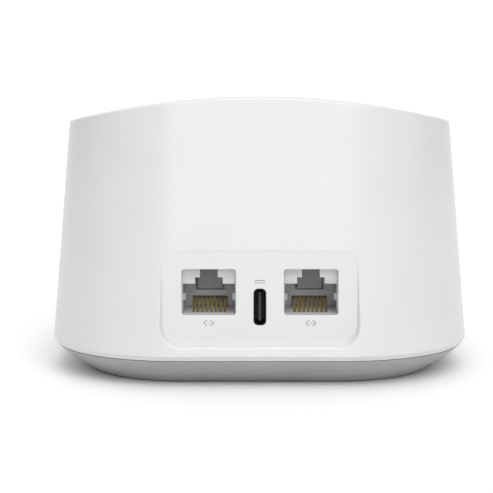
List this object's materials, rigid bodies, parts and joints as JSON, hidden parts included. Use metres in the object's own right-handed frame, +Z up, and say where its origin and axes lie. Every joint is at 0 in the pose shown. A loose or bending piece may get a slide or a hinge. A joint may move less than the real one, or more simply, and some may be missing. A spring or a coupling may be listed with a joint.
{
  "type": "wireless router",
  "caption": "Compact mesh wireless router: leaning rounded-square shell with an arched top, rear panel with network jacks and a USB-C power inlet, and a reset button underneath.",
  "frame": {"origin": "under the centre of the body, on the surface it stands on", "axes": "+Z up, the port panel faces -Y, the plain front faces +Y, +X is to the right of someone who looks at the ports"},
  "size_m": [0.0996, 0.097, 0.0657],
  "materials": {
    "shell_white": "glossy white moulded plastic",
    "base_grey": "satin light grey moulded plastic",
    "foot_rubber": "matt grey elastomer",
    "label_film": "matt silver-grey film, blank",
    "screw_steel": "zinc-plated",
    "light_pipe": "milky translucent",
    "led_body": "moulded lens",
    "jack_shield": "nickel-plated sheet, satin",
    "jack_plastic": "moulded thermoplastic",
    "jack_insert": "moulded thermoplastic",
    "contact_gold": "gold-plated spring wire",
    "usb_shell": "black nickel",
    "usb_tongue": "moulded thermoplastic",
    "solder_mask": "glass-epoxy board under solder mask",
    "chip_black": "moulded epoxy package",
    "ferrite": "ground ferrite",
    "capacitor_can": "drawn can with film sleeve",
    "shield_tin": "tin-plated sheet",
    "thermal_pad": "filled silicone",
    "heat_sink": "die-cast, bead-blasted",
    "carrier_white": "moulded plastic",
    "coax_jacket": "extruded jacket",
    "switch_black": "moulded plastic",
    "plunger_grey": "moulded plastic"
  },
  "bodies": {
    "chassis": {"top_shell": "shell_white", "base_cover": "base_grey", "foot_ring": "foot_rubber", "underside_label": "label_film", "base_screws": "screw_steel", "light_pipe": "light_pipe", "status_led": "led_body", "left_jack_shield": "jack_shield", "left_jack_housing": "jack_plastic", "left_jack_insert": "jack_insert", "left_jack_contacts": "contact_gold", "right_jack_shield": "jack_shield", "right_jack_housing": "jack_plastic", "right_jack_insert": "jack_insert", "right_jack_contacts": "contact_gold", "usb_c_shell": "usb_shell", "usb_c_tongue": "usb_tongue", "usb_c_contacts": "contact_gold", "main_board": "solder_mask", "board_screws": "screw_steel", "soc_chip": "chip_black", "memory_chips": "chip_black", "flash_chip": "chip_black", "network_transformers": "chip_black", "power_inductors": "ferrite", "bulk_capacitors": "capacitor_can", "crystal_can": "shield_tin", "radio_chips": "chip_black", "radio_shield_frames": "shield_tin", "radio_shield_lids": "shield_tin", "soc_thermal_pad": "thermal_pad", "radio_thermal_pads": "thermal_pad", "heat_sink": "heat_sink", "heat_sink_screws": "screw_steel", "lower_heat_plate": "heat_sink", "lower_thermal_pad": "thermal_pad", "antenna_carrier": "carrier_white", "carrier_screws": "screw_steel", "left_antenna": "solder_mask", "right_antenna": "solder_mask", "left_coax": "coax_jacket", "right_coax": "coax_jacket", "coax_plugs": "contact_gold", "coax_sockets": "contact_gold", "reset_switch_case": "switch_black"},
    "reset_button": {"reset_plunger": "plunger_grey", "reset_switch_actuator": "switch_black"}
  },
  "joints": [
    {"name": "reset_press", "type": "slide", "parent": "chassis", "child": "reset_button", "axis": [0, 0, 1], "range_m": [0, 0.0003], "stiffness_N_per_m": 800, "springref_m": -0.0015}
  ]
}
